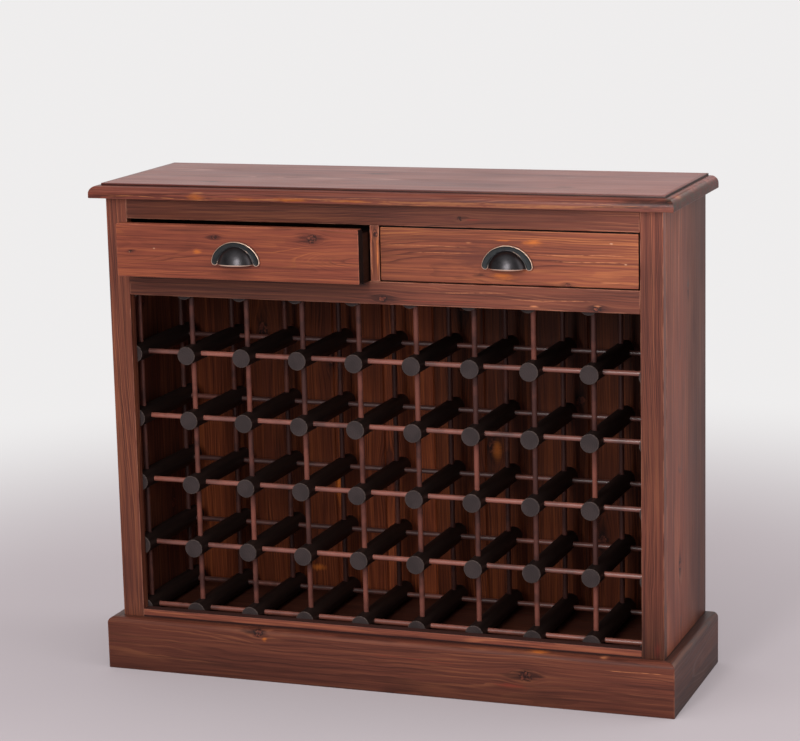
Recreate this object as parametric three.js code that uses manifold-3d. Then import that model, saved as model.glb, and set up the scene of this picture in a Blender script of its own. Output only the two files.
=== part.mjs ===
// A low cabinet for wine in stained pine. Its case has a face frame, a moulded top, a plinth and a
// boarded back. Two drawers with cup pulls run above a rack of round bars joined by thin rods.
// Millimetres: X runs along the front, +Y from the front to the back and +Z up from the floor.

import * as THREE from "three";
import { mergeVertices } from "three/addons/utils/BufferGeometryUtils.js";
import Module from "manifold-3d";

const wasm = await Module();
wasm.setup();

// Between pieces
const jointGap = 0.3;
const cutOverrun = 6;

// Rack: bars run front to back, rods cross them near both of their ends
const columnCount = 10;
const rowCount = 6;
const columnPitch = 110.4;
const rowPitch = 122.9;
const endColumnShift = 3.4;
const barRadius = 17.3;
const barLength = 250;
const barSides = 12;
const rodRadius = 4.3;
const rodSides = 6;
const rodInset = 34;
const rackSetback = 1;
const rackRearSpace = 32;

// Case
const sideThickness = 15;
const shelfThickness = 18;
const shelfTop = 92;
const deckThickness = 16;
const backThickness = 12;
const backFloorGap = 10;
const backBoardCount = 10;
const boardGrooveWidth = 5;
const boardGrooveDepth = 2.5;
const cleatHeight = 30;
const guideHeight = 38;
const backRailThickness = 18;

// Face frame
const frameThickness = 20;
const stileWidth = 41;
const topRailHeight = 39;
const midRailHeight = 41;
const bottomRailHeight = 54;
const bottomRailRise = 22;
const mullionWidth = 17;
const drawerOpeningHeight = 101;

// Top
const topThickness = 26.3;
const topOverhang = 24;
const ovoloRadius = 14;
const quirkWidth = 4.6;
const quirkHeight = 4;
const ovoloSteps = 5;

// Plinth
const plinthHeight = 99;
const plinthThickness = 23.7;
const plinthRadius = 10;
const plinthSteps = 4;

// Drawers
const leftDrawerOpening = 52;
const frontThickness = 20;
const frontSideGap = 2.4;
const frontEdgeGap = 1.7;
const boxThickness = 12;
const boxHeight = 90;
const boxRearGap = 1;
const bottomThickness = 5;
const bottomRaise = 9;
const grooveDepth = 5;

// Cup pulls, each held by two screws from inside the drawer
const pullWidth = 94;
const pullHeight = 44;
const flangeBand = 13.5;
const flangeThickness = 4;
const flangeSteps = 14;
const cupHalfWidth = 34.5;
const cupHeight = 32.5;
const cupReach = 24;
const cupWall = 2;
const cupRise = 2.5;
const cupSegments = 24;
const cupRings = 14;
const screwRadius = 2;
const screwHeadRadius = 4.4;
const screwHeadHeight = 2.5;
const screwSides = 8;
const screwBite = 2.7;

// Finishes
const caseWood = { color: 0x8c5140, roughness: 0.45, metalness: 0 };
const topWood = { color: 0x9a6358, roughness: 0.4, metalness: 0 };
const drawerWood = { color: 0xa9614a, roughness: 0.45, metalness: 0 };
const innerWood = { color: 0x8a5a40, roughness: 0.6, metalness: 0 };
const barWood = { color: 0x40302b, roughness: 0.55, metalness: 0 };
const rodWood = { color: 0x7d4a40, roughness: 0.5, metalness: 0 };
const agedBrass = { color: 0x6d6152, roughness: 0.35, metalness: 0.9 };
const zincSteel = { color: 0xb4b6b8, roughness: 0.35, metalness: 1 };

// Widths, from the rack outwards
const lastColumn = columnCount - 1;
const outerColumnX = (lastColumn / 2) * columnPitch - endColumnShift;
const innerHalfWidth = outerColumnX + barRadius + jointGap;
const caseHalfWidth = innerHalfWidth + sideThickness;
const stileInnerX = caseHalfWidth - stileWidth;
const mullionHalfWidth = mullionWidth / 2;
const openingWidth = stileInnerX - mullionHalfWidth;
const openingCentreX = (stileInnerX + mullionHalfWidth) / 2;

// Depths, from the face of the frame backwards
const behindFrame = frameThickness + jointGap;
const rackFront = frameThickness + rackSetback;
const rackBack = rackFront + barLength;
const backFront = rackBack + rackRearSpace;
const caseDepth = backFront + backThickness;
const innerDepth = [behindFrame, backFront - jointGap];

// Heights, from the floor upwards
const lastRow = rowCount - 1;
const bottomRowZ = shelfTop + jointGap + barRadius;
const topRowZ = bottomRowZ + lastRow * rowPitch;
const deckUnderside = topRowZ + barRadius + jointGap;
const deckTop = deckUnderside + deckThickness;
const openingTop = deckTop + drawerOpeningHeight;
const topUnderside = openingTop + topRailHeight;
const bottomRailTop = shelfTop + bottomRailRise;
const shelfUnderside = shelfTop - shelfThickness;
const innerHeight = [deckTop + jointGap, topUnderside - jointGap];

const leftAndRight = [
  { name: "left", sign: -1 },
  { name: "right", sign: 1 },
];

function middle([low, high]) {
  return (low + high) / 2;
}

function mirrored([low, high], sign) {
  return sign > 0 ? [low, high] : [-high, -low];
}

// A plain board between three pairs of limits
function board(x, y, z) {
  const geometry = new THREE.BoxGeometry(x[1] - x[0], y[1] - y[0], z[1] - z[0]);
  return geometry.translate(middle(x), middle(y), middle(z));
}

// A many-sided bar along Y whose flats lie at the radius
function barAlongY(radius, length, sides, turn) {
  const corner = radius / Math.cos(Math.PI / sides);
  return new THREE.CylinderGeometry(corner, corner, length, sides, 1, false, turn);
}

function rodAlongZ(radius, length) {
  return barAlongY(radius, length, rodSides, 0).rotateX(Math.PI / 2);
}

function rodAlongX(radius, length) {
  return barAlongY(radius, length, rodSides, Math.PI / rodSides).rotateZ(Math.PI / 2);
}

// A closed skin over rings that have the same number of points; the end rings are convex
function loft(rings) {
  const count = rings[0].length;
  const positions = rings.flat(2);
  const index = [];
  for (let ring = 0; ring + 1 < rings.length; ring++) {
    for (let point = 0; point < count; point++) {
      const a = ring * count + point;
      const b = ring * count + ((point + 1) % count);
      index.push(a, b, b + count, a, b + count, a + count);
    }
  }
  const last = (rings.length - 1) * count;
  for (let point = 1; point + 1 < count; point++) {
    index.push(0, point + 1, point);
    index.push(last, last + point, last + point + 1);
  }
  const geometry = new THREE.BufferGeometry();
  geometry.setAttribute("position", new THREE.Float32BufferAttribute(positions, 3));
  geometry.setIndex(index);
  geometry.computeVertexNormals();
  return geometry;
}

function solidOf(geometry) {
  const bare = geometry.clone();
  bare.deleteAttribute("normal");
  bare.deleteAttribute("uv");
  const merged = mergeVertices(bare);
  const mesh = new wasm.Mesh({
    numProp: 3,
    vertProperties: new Float32Array(merged.attributes.position.array),
    triVerts: new Uint32Array(merged.index.array),
  });
  return new wasm.Manifold(mesh);
}

function geometryOf(solid) {
  const mesh = solid.getMesh();
  const geometry = new THREE.BufferGeometry();
  geometry.setAttribute("position", new THREE.Float32BufferAttribute(mesh.vertProperties, 3));
  geometry.setIndex(Array.from(mesh.triVerts));
  geometry.computeVertexNormals();
  return geometry;
}

function piece(name, geometry, finish) {
  const mesh = new THREE.Mesh(geometry, new THREE.MeshStandardMaterial(finish));
  mesh.name = name;
  return mesh;
}

// Top: the outline shrinks as the moulding rises, on the front and the two ends
function topGeometry() {
  const noseHeight = topThickness - quirkHeight - ovoloRadius;
  const edge = [[0, 0]];
  for (let step = 0; step <= ovoloSteps; step++) {
    const angle = (step / ovoloSteps) * (Math.PI / 2);
    const inset = ovoloRadius * (1 - Math.cos(angle));
    edge.push([inset, noseHeight + ovoloRadius * Math.sin(angle)]);
  }
  const quirkInset = ovoloRadius + quirkWidth;
  edge.push([quirkInset, topThickness - quirkHeight], [quirkInset, topThickness]);
  const rings = edge.map(([inset, rise]) => {
    const x = caseHalfWidth + topOverhang - inset;
    const front = inset - topOverhang;
    const z = topUnderside + rise;
    return [[-x, front, z], [x, front, z], [x, caseDepth, z], [-x, caseDepth, z]];
  });
  return loft(rings);
}

// Plinth: points [outward, up] round a board's section, whose upper outer edge is rounded
function plinthSection() {
  const points = [[jointGap, 0], [jointGap + plinthThickness, 0]];
  for (let step = 0; step <= plinthSteps; step++) {
    const angle = (step / plinthSteps) * (Math.PI / 2);
    const outward = jointGap + plinthThickness - plinthRadius * (1 - Math.cos(angle));
    points.push([outward, plinthHeight - plinthRadius * (1 - Math.sin(angle))]);
  }
  points.push([jointGap, plinthHeight]);
  return points;
}

function plinthFrontGeometry() {
  const end = (sign) =>
    plinthSection().map(([out, up]) => [sign * (caseHalfWidth + out), -out, up]);
  return loft([end(1), end(-1)]);
}

// The mitred end stands back from the front board by the gap between them
function plinthSideGeometry(sign) {
  const mitre = plinthSection().map(([out, up]) => [
    sign * (caseHalfWidth + out), jointGap * Math.SQRT2 - out, up,
  ]);
  const rear = plinthSection().map(([out, up]) => [sign * (caseHalfWidth + out), caseDepth, up]);
  return sign > 0 ? loft([rear, mitre]) : loft([mitre, rear]);
}

// Back: upright boards joined edge to edge, with a V groove at each joint on both faces
function backGeometry() {
  const halfWidth = innerHalfWidth - jointGap;
  const boardWidth = (2 * halfWidth) / backBoardCount;
  const halfGroove = boardGrooveWidth / 2;
  const outline = new THREE.Shape();
  outline.moveTo(-halfWidth, backFront);
  for (let joint = 1; joint < backBoardCount; joint++) {
    const x = joint * boardWidth - halfWidth;
    outline.lineTo(x - halfGroove, backFront);
    outline.lineTo(x, backFront + boardGrooveDepth);
    outline.lineTo(x + halfGroove, backFront);
  }
  outline.lineTo(halfWidth, backFront);
  outline.lineTo(halfWidth, caseDepth);
  for (let joint = backBoardCount - 1; joint > 0; joint--) {
    const x = joint * boardWidth - halfWidth;
    outline.lineTo(x + halfGroove, caseDepth);
    outline.lineTo(x, caseDepth - boardGrooveDepth);
    outline.lineTo(x - halfGroove, caseDepth);
  }
  outline.lineTo(-halfWidth, caseDepth);
  const depth = topUnderside - jointGap - backFloorGap;
  const geometry = new THREE.ExtrudeGeometry(outline, { depth, bevelEnabled: false });
  return geometry.translate(0, 0, backFloorGap);
}

function buildCase() {
  const group = new THREE.Group();
  const withinSides = [jointGap - innerHalfWidth, innerHalfWidth - jointGap];
  const fullHeight = [0, topUnderside - jointGap];
  group.add(piece("top_panel", topGeometry(), topWood));
  group.add(piece("back_panel", backGeometry(), innerWood));

  const shelf = board(withinSides, innerDepth, [shelfUnderside, shelfTop]);
  group.add(piece("bottom_shelf", shelf, innerWood));
  const deck = board(withinSides, innerDepth, [deckUnderside, deckTop]);
  group.add(piece("drawer_deck", deck, innerWood));
  const divider = board([-mullionHalfWidth, mullionHalfWidth], innerDepth, innerHeight);
  group.add(piece("drawer_divider", divider, innerWood));
  const backRailDepth = [backFront - jointGap - backRailThickness, backFront - jointGap];
  const backRail = board(withinSides, backRailDepth, [0, shelfUnderside - jointGap]);
  group.add(piece("plinth_back_rail", backRail, caseWood));
  group.add(piece("plinth_front", plinthFrontGeometry(), caseWood));

  for (const { name, sign } of leftAndRight) {
    const sideX = mirrored([innerHalfWidth, caseHalfWidth], sign);
    const side = board(sideX, [behindFrame, caseDepth], fullHeight);
    group.add(piece(`${name}_side_panel`, side, caseWood));
    group.add(piece(`plinth_${name}`, plinthSideGeometry(sign), caseWood));

    const stripX = mirrored([stileInnerX, innerHalfWidth - jointGap], sign);
    const guide = board(stripX, innerDepth, [innerHeight[0], innerHeight[0] + guideHeight]);
    group.add(piece(`${name}_drawer_guide`, guide, innerWood));
    const cleat = board(stripX, innerDepth, [innerHeight[1] - cleatHeight, innerHeight[1]]);
    group.add(piece(`${name}_top_cleat`, cleat, innerWood));
  }
  return group;
}

function buildFaceFrame() {
  const group = new THREE.Group();
  const depth = [0, frameThickness];
  const betweenStiles = [jointGap - stileInnerX, stileInnerX - jointGap];
  for (const { name, sign } of leftAndRight) {
    const x = mirrored([stileInnerX, caseHalfWidth], sign);
    const stile = board(x, depth, [0, topUnderside - jointGap]);
    group.add(piece(`${name}_stile`, stile, caseWood));
  }
  const rails = [
    ["top_rail", [openingTop, topUnderside - jointGap]],
    ["mid_rail", [deckTop - midRailHeight, deckTop]],
    ["bottom_rail", [bottomRailTop - bottomRailHeight, bottomRailTop]],
  ];
  for (const [name, z] of rails) {
    group.add(piece(name, board(betweenStiles, depth, z), caseWood));
  }
  const mullionZ = [deckTop + jointGap, openingTop - jointGap];
  const mullion = board([-mullionHalfWidth, mullionHalfWidth], depth, mullionZ);
  group.add(piece("center_mullion", mullion, caseWood));
  return group;
}

function columnX(column) {
  const x = (column - lastColumn / 2) * columnPitch;
  return Math.max(-outerColumnX, Math.min(outerColumnX, x));
}

function rowZ(row) {
  return topRowZ - row * rowPitch;
}

const rodPlanes = [
  { name: "front", y: rackFront + rodInset },
  { name: "rear", y: rackBack - rodInset },
];

// One upright column: its bars, with the upright rods between them, drilled for the level rods
function columnGeometry() {
  const barY = (rackFront + rackBack) / 2;
  const drillLength = 2 * (barRadius + cutOverrun);
  let column = null;
  const drills = [];
  for (let row = 0; row < rowCount; row++) {
    const bar = barAlongY(barRadius, barLength, barSides, Math.PI / barSides);
    const solid = solidOf(bar.translate(0, barY, rowZ(row)));
    column = column ? column.add(solid) : solid;
    for (const { y } of rodPlanes) {
      const drill = rodAlongX(rodRadius + jointGap, drillLength);
      drills.push(solidOf(drill.translate(0, y, rowZ(row))));
    }
  }
  const rodLength = rowPitch - barRadius;
  for (let row = 0; row < lastRow; row++) {
    for (const { y } of rodPlanes) {
      const rod = rodAlongZ(rodRadius, rodLength);
      column = column.add(solidOf(rod.translate(0, y, middle([rowZ(row), rowZ(row + 1)]))));
    }
  }
  for (const drill of drills) column = column.subtract(drill);
  return geometryOf(column);
}

function buildRack() {
  const group = new THREE.Group();
  const column = columnGeometry();
  for (let index = 0; index < columnCount; index++) {
    const mesh = piece(`rack_column_${index + 1}`, column, barWood);
    mesh.position.x = columnX(index);
    group.add(mesh);
  }
  const rodLength = 2 * (innerHalfWidth - jointGap);
  for (const { name, y } of rodPlanes) {
    for (let row = 0; row < rowCount; row++) {
      const mesh = piece(`${name}_rod_row_${row + 1}`, rodAlongX(rodRadius, rodLength), rodWood);
      mesh.position.set(0, y, rowZ(row));
      group.add(mesh);
    }
  }
  return group;
}

// Drawer: X from its centre, Y from the face of its front, Z from the floor
const frontHalfWidth = openingWidth / 2 - frontSideGap;
const frontHeight = [deckTop + frontEdgeGap, openingTop - frontEdgeGap];
const boxFront = frontThickness + jointGap;
const boxBack = backFront - boxRearGap;
const boxBottom = deckTop + jointGap;
const boxTop = boxBottom + boxHeight;
const boxInnerX = frontHalfWidth - boxThickness;
const bottomHeight = [boxBottom + bottomRaise, boxBottom + bottomRaise + bottomThickness];
const grooveHeight = [bottomHeight[0] - jointGap, bottomHeight[1] + jointGap];
const pullBase = middle(frontHeight) - pullHeight / 2;
const screwX = (pullWidth - flangeBand) / 2;
const screwZ = pullBase + flangeBand / 2;

function screwHoleGeometry(x) {
  const length = frontThickness + 2 * cutOverrun;
  const hole = barAlongY(screwRadius + jointGap, length, screwSides, 0);
  return hole.translate(x, frontThickness / 2, screwZ);
}

function drawerFrontGeometry() {
  const blank = board([-frontHalfWidth, frontHalfWidth], [0, frontThickness], frontHeight);
  const grooveX = boxInnerX + grooveDepth;
  const grooveY = [frontThickness - grooveDepth, frontThickness + cutOverrun];
  let front = solidOf(blank).subtract(solidOf(board([-grooveX, grooveX], grooveY, grooveHeight)));
  for (const { sign } of leftAndRight) {
    front = front.subtract(solidOf(screwHoleGeometry(sign * screwX)));
  }
  return geometryOf(front);
}

function drawerSideGeometry(sign) {
  const x = mirrored([boxInnerX, frontHalfWidth], sign);
  const side = solidOf(board(x, [boxFront, boxBack], [boxBottom, boxTop]));
  const grooveX = mirrored([boxInnerX - cutOverrun, boxInnerX + grooveDepth], sign);
  const grooveY = [boxFront - cutOverrun, boxBack + cutOverrun];
  return geometryOf(side.subtract(solidOf(board(grooveX, grooveY, grooveHeight))));
}

// A flat arch with round feet, in the plane of the drawer's face, standing out from it
function flangeGeometry() {
  const halfBand = flangeBand / 2;
  const outerX = pullWidth / 2;
  const outerZ = pullHeight - halfBand;
  const innerX = outerX - flangeBand;
  const innerZ = outerZ - flangeBand;
  const outline = new THREE.Shape();
  outline.absellipse(0, halfBand, outerX, outerZ, 0, Math.PI, false);
  outline.absarc(-screwX, halfBand, halfBand, Math.PI, 2 * Math.PI, false);
  outline.absellipse(0, halfBand, innerX, innerZ, Math.PI, 0, true);
  outline.absarc(screwX, halfBand, halfBand, Math.PI, 2 * Math.PI, false);
  const settings = { depth: flangeThickness, bevelEnabled: false, curveSegments: flangeSteps };
  const geometry = new THREE.ExtrudeGeometry(outline, settings);
  return geometry.rotateX(Math.PI / 2).translate(0, -jointGap, 0);
}

// The whole ellipsoid that the cup is half of, drawn in on all sides by an inset
function cupSolid(inset) {
  const ellipsoid = new THREE.SphereGeometry(1, cupSegments, cupRings);
  ellipsoid.scale(cupHalfWidth - inset, cupReach - inset, cupHeight - inset);
  return solidOf(ellipsoid.translate(0, -jointGap, cupRise));
}

// A cup open underneath, on an arched flange whose feet take the two screws
function pullGeometry() {
  const keepX = cupHalfWidth + cutOverrun;
  const keepY = [-jointGap - cupReach - cutOverrun, -jointGap];
  const keepZ = [cupRise, cupRise + cupHeight + cutOverrun];
  const dome = cupSolid(0).intersect(solidOf(board([-keepX, keepX], keepY, keepZ)));
  let pull = dome.add(solidOf(flangeGeometry())).subtract(cupSolid(cupWall));
  for (const { sign } of leftAndRight) {
    const depth = screwBite + jointGap;
    const socket = barAlongY(screwRadius + jointGap, 2 * depth, screwSides, 0);
    socket.translate(sign * screwX, -jointGap, flangeBand / 2);
    pull = pull.subtract(solidOf(socket));
  }
  return geometryOf(pull).translate(0, 0, pullBase);
}

// A pan head screw whose head bears on the inner face of the drawer front
function screwGeometry() {
  const tip = -jointGap - screwBite;
  const seat = frontThickness + jointGap;
  const crown = seat + screwHeadHeight;
  const profile = [
    new THREE.Vector2(0, tip),
    new THREE.Vector2(screwRadius, tip),
    new THREE.Vector2(screwRadius, seat),
    new THREE.Vector2(screwHeadRadius, seat),
    new THREE.Vector2(screwHeadRadius, crown),
    new THREE.Vector2(0, crown),
  ];
  return new THREE.LatheGeometry(profile, screwSides);
}

function buildDrawer(name, centreX, opening) {
  const drawer = new THREE.Group();
  drawer.position.set(centreX, -opening, 0);
  drawer.add(piece(`${name}_front`, drawerFrontGeometry(), drawerWood));
  for (const side of leftAndRight) {
    drawer.add(piece(`${name}_${side.name}_side`, drawerSideGeometry(side.sign), innerWood));
  }
  const backX = [jointGap - boxInnerX, boxInnerX - jointGap];
  const backZ = [bottomHeight[1] + jointGap, boxTop];
  const back = board(backX, [boxBack - boxThickness, boxBack], backZ);
  drawer.add(piece(`${name}_back`, back, innerWood));
  const bottomX = boxInnerX + grooveDepth - jointGap;
  const bottomY = [frontThickness - grooveDepth + jointGap, boxBack];
  const bottom = board([-bottomX, bottomX], bottomY, bottomHeight);
  drawer.add(piece(`${name}_bottom`, bottom, innerWood));
  drawer.add(piece(`${name}_cup_pull`, pullGeometry(), agedBrass));
  leftAndRight.forEach(({ sign }, index) => {
    const screw = piece(`${name}_pull_screw_${index + 1}`, screwGeometry(), zincSteel);
    screw.position.set(sign * screwX, 0, screwZ);
    drawer.add(screw);
  });
  return drawer;
}

// The whole cabinet, with its origin on the floor under the middle of its outline
const frontReach = Math.max(topOverhang, leftDrawerOpening + jointGap + cupReach);
const cabinet = new THREE.Group();
cabinet.name = "wine_cabinet";
cabinet.position.y = (frontReach - caseDepth) / 2;
cabinet.add(buildCase());
cabinet.add(buildFaceFrame());
cabinet.add(buildRack());
cabinet.add(buildDrawer("left_drawer", -openingCentreX, leftDrawerOpening));
cabinet.add(buildDrawer("right_drawer", openingCentreX, 0));

export default cabinet;
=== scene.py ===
import math
import random
from collections import namedtuple

import bpy
from mathutils import Matrix, Vector


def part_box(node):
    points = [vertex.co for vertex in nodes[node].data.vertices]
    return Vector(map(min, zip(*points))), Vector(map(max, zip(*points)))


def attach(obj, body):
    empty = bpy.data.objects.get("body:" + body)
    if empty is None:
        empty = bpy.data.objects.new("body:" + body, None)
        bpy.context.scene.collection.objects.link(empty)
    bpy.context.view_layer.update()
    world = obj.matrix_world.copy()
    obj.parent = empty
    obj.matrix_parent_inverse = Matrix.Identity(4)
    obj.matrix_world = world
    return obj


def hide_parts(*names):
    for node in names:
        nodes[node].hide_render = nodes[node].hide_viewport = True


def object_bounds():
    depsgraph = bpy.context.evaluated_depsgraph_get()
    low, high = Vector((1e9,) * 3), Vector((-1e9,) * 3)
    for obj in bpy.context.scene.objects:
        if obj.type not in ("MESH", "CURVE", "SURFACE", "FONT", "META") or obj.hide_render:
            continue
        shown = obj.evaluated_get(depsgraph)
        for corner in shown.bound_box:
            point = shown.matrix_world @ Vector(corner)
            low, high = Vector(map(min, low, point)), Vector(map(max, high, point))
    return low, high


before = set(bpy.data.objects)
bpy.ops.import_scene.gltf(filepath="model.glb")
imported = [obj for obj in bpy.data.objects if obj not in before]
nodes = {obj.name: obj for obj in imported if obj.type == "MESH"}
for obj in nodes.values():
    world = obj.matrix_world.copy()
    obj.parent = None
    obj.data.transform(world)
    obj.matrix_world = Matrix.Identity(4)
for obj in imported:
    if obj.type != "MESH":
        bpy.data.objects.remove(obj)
cad_low, cad_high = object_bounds()
scene = bpy.context.scene
MM = 0.001
X, Y, Z = 0, 1, 2

# Camera, from the face of the frame and the middle of the cabinet
CAMERA_ASIDE = 1.59274
CAMERA_AHEAD = 4.24292
CAMERA_HEIGHT = 1.49682
CAMERA_TURN = 20.07088
CAMERA_DIP = 11.25441
CAMERA_ROLL = -1.33413
CAMERA_LENS = 115.924
CAMERA_SENSOR = 36


def placed(name, data):
    """A new object in the scene."""
    thing = bpy.data.objects.new(name, data)
    scene.collection.objects.link(thing)
    return thing


def add_camera():
    data = bpy.data.cameras.new("camera")
    data.sensor_fit = "HORIZONTAL"
    data.sensor_width = CAMERA_SENSOR
    data.lens = CAMERA_LENS
    camera = placed("camera", data)
    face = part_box("left_stile")[0].y
    camera.matrix_world = (
        Matrix.Translation((CAMERA_ASIDE, face - CAMERA_AHEAD, CAMERA_HEIGHT))
        @ Matrix.Rotation(math.radians(CAMERA_TURN), 4, "Z")
        @ Matrix.Rotation(math.radians(90 - CAMERA_DIP), 4, "X")
        @ Matrix.Rotation(math.radians(CAMERA_ROLL), 4, "Z")
    )
    scene.camera = camera


add_camera()


def rgb(red, green, blue):
    """A colour given in screen levels, 0 to 255, as the linear colour that shaders take."""
    linear = []
    for level in (red, green, blue):
        share = level / 255
        linear.append(share / 12.92 if share <= 0.04045 else ((share + 0.055) / 1.055) ** 2.4)
    return (*linear, 1)


class Graph:
    """The nodes of a material or world. Its methods add nodes and return their output sockets."""

    def __init__(self, owner):
        owner.use_nodes = True
        self.owner = owner
        self.tree = owner.node_tree
        self.tree.nodes.clear()

    def add(self, kind, inputs, output=0, **settings):
        node = self.tree.nodes.new("ShaderNode" + kind)
        for key, value in settings.items():
            setattr(node, key, value)
        for key, value in inputs.items():
            if isinstance(value, bpy.types.NodeSocket):
                self.tree.links.new(value, node.inputs[key])
            else:
                node.inputs[key].default_value = value
        return node.outputs[output]

    def math(self, operation, *values, clamp=False):
        return self.add("Math", dict(enumerate(values)), operation=operation, use_clamp=clamp)

    def product(self, *values):
        result = values[0]
        for value in values[1:]:
            result = self.math("MULTIPLY", result, value)
        return result

    def vector(self, operation, *values):
        output = "Value" if operation == "LENGTH" else "Vector"
        return self.add("VectorMath", dict(enumerate(values)), output, operation=operation)

    def scaled(self, value, factor):
        return self.add("VectorMath", {0: value, "Scale": factor}, "Vector", operation="SCALE")

    def ease(self, value, low, high):
        """0 at low and 1 at high with a smooth step between; low may be the larger one."""
        inputs = {"Value": value, "From Min": low, "From Max": high}
        return self.add("MapRange", inputs, interpolation_type="SMOOTHSTEP")

    def span(self, value, low, high):
        """A share from 0 to 1 stretched to the range from low to high."""
        return self.add("MapRange", {"Value": value, "To Min": low, "To Max": high})

    def levels(self, value, low, high, steps):
        """Levels that lie evenly from low to high, with straight runs between them."""
        width = (high - low) / (len(steps) - 1)
        result = steps[0]
        for index, (first, second) in enumerate(zip(steps, steps[1:])):
            start = low + index * width
            inputs = {"Value": value, "From Min": start, "From Max": start + width, "To Min": 0.0,
                      "To Max": second - first}
            result = self.math("ADD", self.add("MapRange", inputs), result)
        return result

    def band(self, value, centre, half_width):
        """1 at the centre, and 0 at half_width from it and beyond."""
        away = self.math("ABSOLUTE", self.math("SUBTRACT", value, centre))
        return self.ease(away, half_width, half_width * 0.2)

    def noise(self, place, scale, detail=2.0, roughness=0.5):
        """Noise from 0 to 1 whose cells are 1 / scale long in each direction."""
        stretched = self.vector("MULTIPLY", place, scale)
        inputs = {"Vector": stretched, "Scale": 1.0, "Detail": detail, "Roughness": roughness}
        return self.add("TexNoise", inputs, "Fac")

    def mix(self, share, first, second):
        return self.add("Mix", {0: share, 6: first, 7: second}, 2, data_type="RGBA")

    def lay(self, color, paint, value, low, high, amount):
        """Paint over a colour, by that amount at most, where a value eases from low to high."""
        return self.mix(self.product(self.ease(value, low, high), amount), color, paint)

    def blend(self, share, first, second):
        return self.add("Mix", {0: share, 2: first, 3: second}, 0, data_type="FLOAT")

    def combine(self, x, y, z):
        return self.add("CombineXYZ", {0: x, 1: y, 2: z})

    def place(self):
        """The shaded point, in the object's own frame."""
        return self.add("TexCoord", {}, "Object")

    def stored(self, name, output="Fac"):
        """What the points of a piece keep under that name."""
        return self.add("Attribute", {}, output, attribute_name=name)

    def separate(self, value):
        node = self.tree.nodes.new("ShaderNodeSeparateXYZ")
        self.tree.links.new(value, node.inputs[0])
        return list(node.outputs)

    def surface(self, color, roughness, height=None, depth=0.0, **constants):
        """Ends the material in one Principled shader; height is a relief, depth metres deep."""
        inputs = {"Base Color": color, "Roughness": roughness}
        if height is not None:
            relief = {"Height": height, "Distance": depth, "Strength": 1.0}
            inputs["Normal"] = self.add("Bump", relief)
        for key, value in constants.items():
            inputs[key.replace("_", " ").title().replace("Ior", "IOR")] = value
        shader = self.add("BsdfPrincipled", inputs)
        self.add_output(shader)
        return self.owner

    def add_output(self, shader):
        output = self.tree.nodes.new("ShaderNodeOutputMaterial")
        self.tree.links.new(shader, output.inputs["Surface"])


# Wood tones: deep stain, usual tone, hard rings, rubbed edges, end grain
Tone = namedtuple("Tone", "deep base ring edge end")
TONES = {
    "case": Tone(rgb(66, 33, 27), rgb(108, 57, 43), rgb(146, 87, 60), rgb(164, 108, 86),
                 rgb(48, 25, 21)),
    # The drawers' near-black end tone stands for end-grain stain and the painted shade of the gaps
    # that their edges face
    "drawer": Tone(rgb(86, 40, 32), rgb(138, 69, 50), rgb(188, 108, 66), rgb(184, 112, 84),
                   rgb(14, 8, 8)),
    "pale_drawer": Tone(rgb(86, 42, 33), rgb(138, 73, 51), rgb(190, 115, 68), rgb(184, 118, 86),
                        rgb(14, 8, 8)),
    "top": Tone(rgb(92, 44, 40), rgb(140, 70, 60), rgb(176, 104, 82), rgb(140, 88, 70),
                rgb(72, 58, 52)),
    "inner": Tone(rgb(52, 22, 14), rgb(100, 46, 26), rgb(150, 78, 42), rgb(110, 58, 38),
                  rgb(30, 14, 11)),
}
# Dark of knots, also used for painted shade and painted shadow lines
DARK_KNOT_AND_SHADE = rgb(36, 18, 18)
KNOT_CORE = rgb(106, 52, 40)
KNOT_RIM = rgb(170, 96, 68)
BARE_SPOT = rgb(208, 114, 46)
PALE_LINE = rgb(200, 126, 84)
PALE_CHIP = rgb(218, 172, 140)
DEEP_STAIN = rgb(100, 52, 42)
WORN_GREY = rgb(84, 70, 62)
WORN_RED = rgb(140, 56, 42)

# How far the grain parts round a knot, and how much longer than wide that disturbance is
KNOT_PARTING = 1.7
KNOT_STRETCH = 0.42
# How much rougher end grain is than the face of a board
END_DULLNESS = 0.25
# Depths of relief on boards, bars, rods and pulls
BOARD_RELIEF = 0.16 * MM
BAR_RELIEF = 0.12 * MM
ROD_RELIEF = 0.06 * MM
PULL_RELIEF = 0.03 * MM


class Board:
    """The box of a board, with its axes along the grain, across the width and through it."""

    def __init__(self, low, high, grain=None, deep=None):
        size = Vector(high) - Vector(low)
        order = sorted((X, Y, Z), key=lambda axis: size[axis])
        self.grain = order[2] if grain is None else grain
        order.remove(self.grain)
        self.deep = order[0] if deep is None else deep
        order.remove(self.deep)
        self.across = order[0]
        self.middle = (Vector(low) + Vector(high)) / 2
        self.size = size


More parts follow.
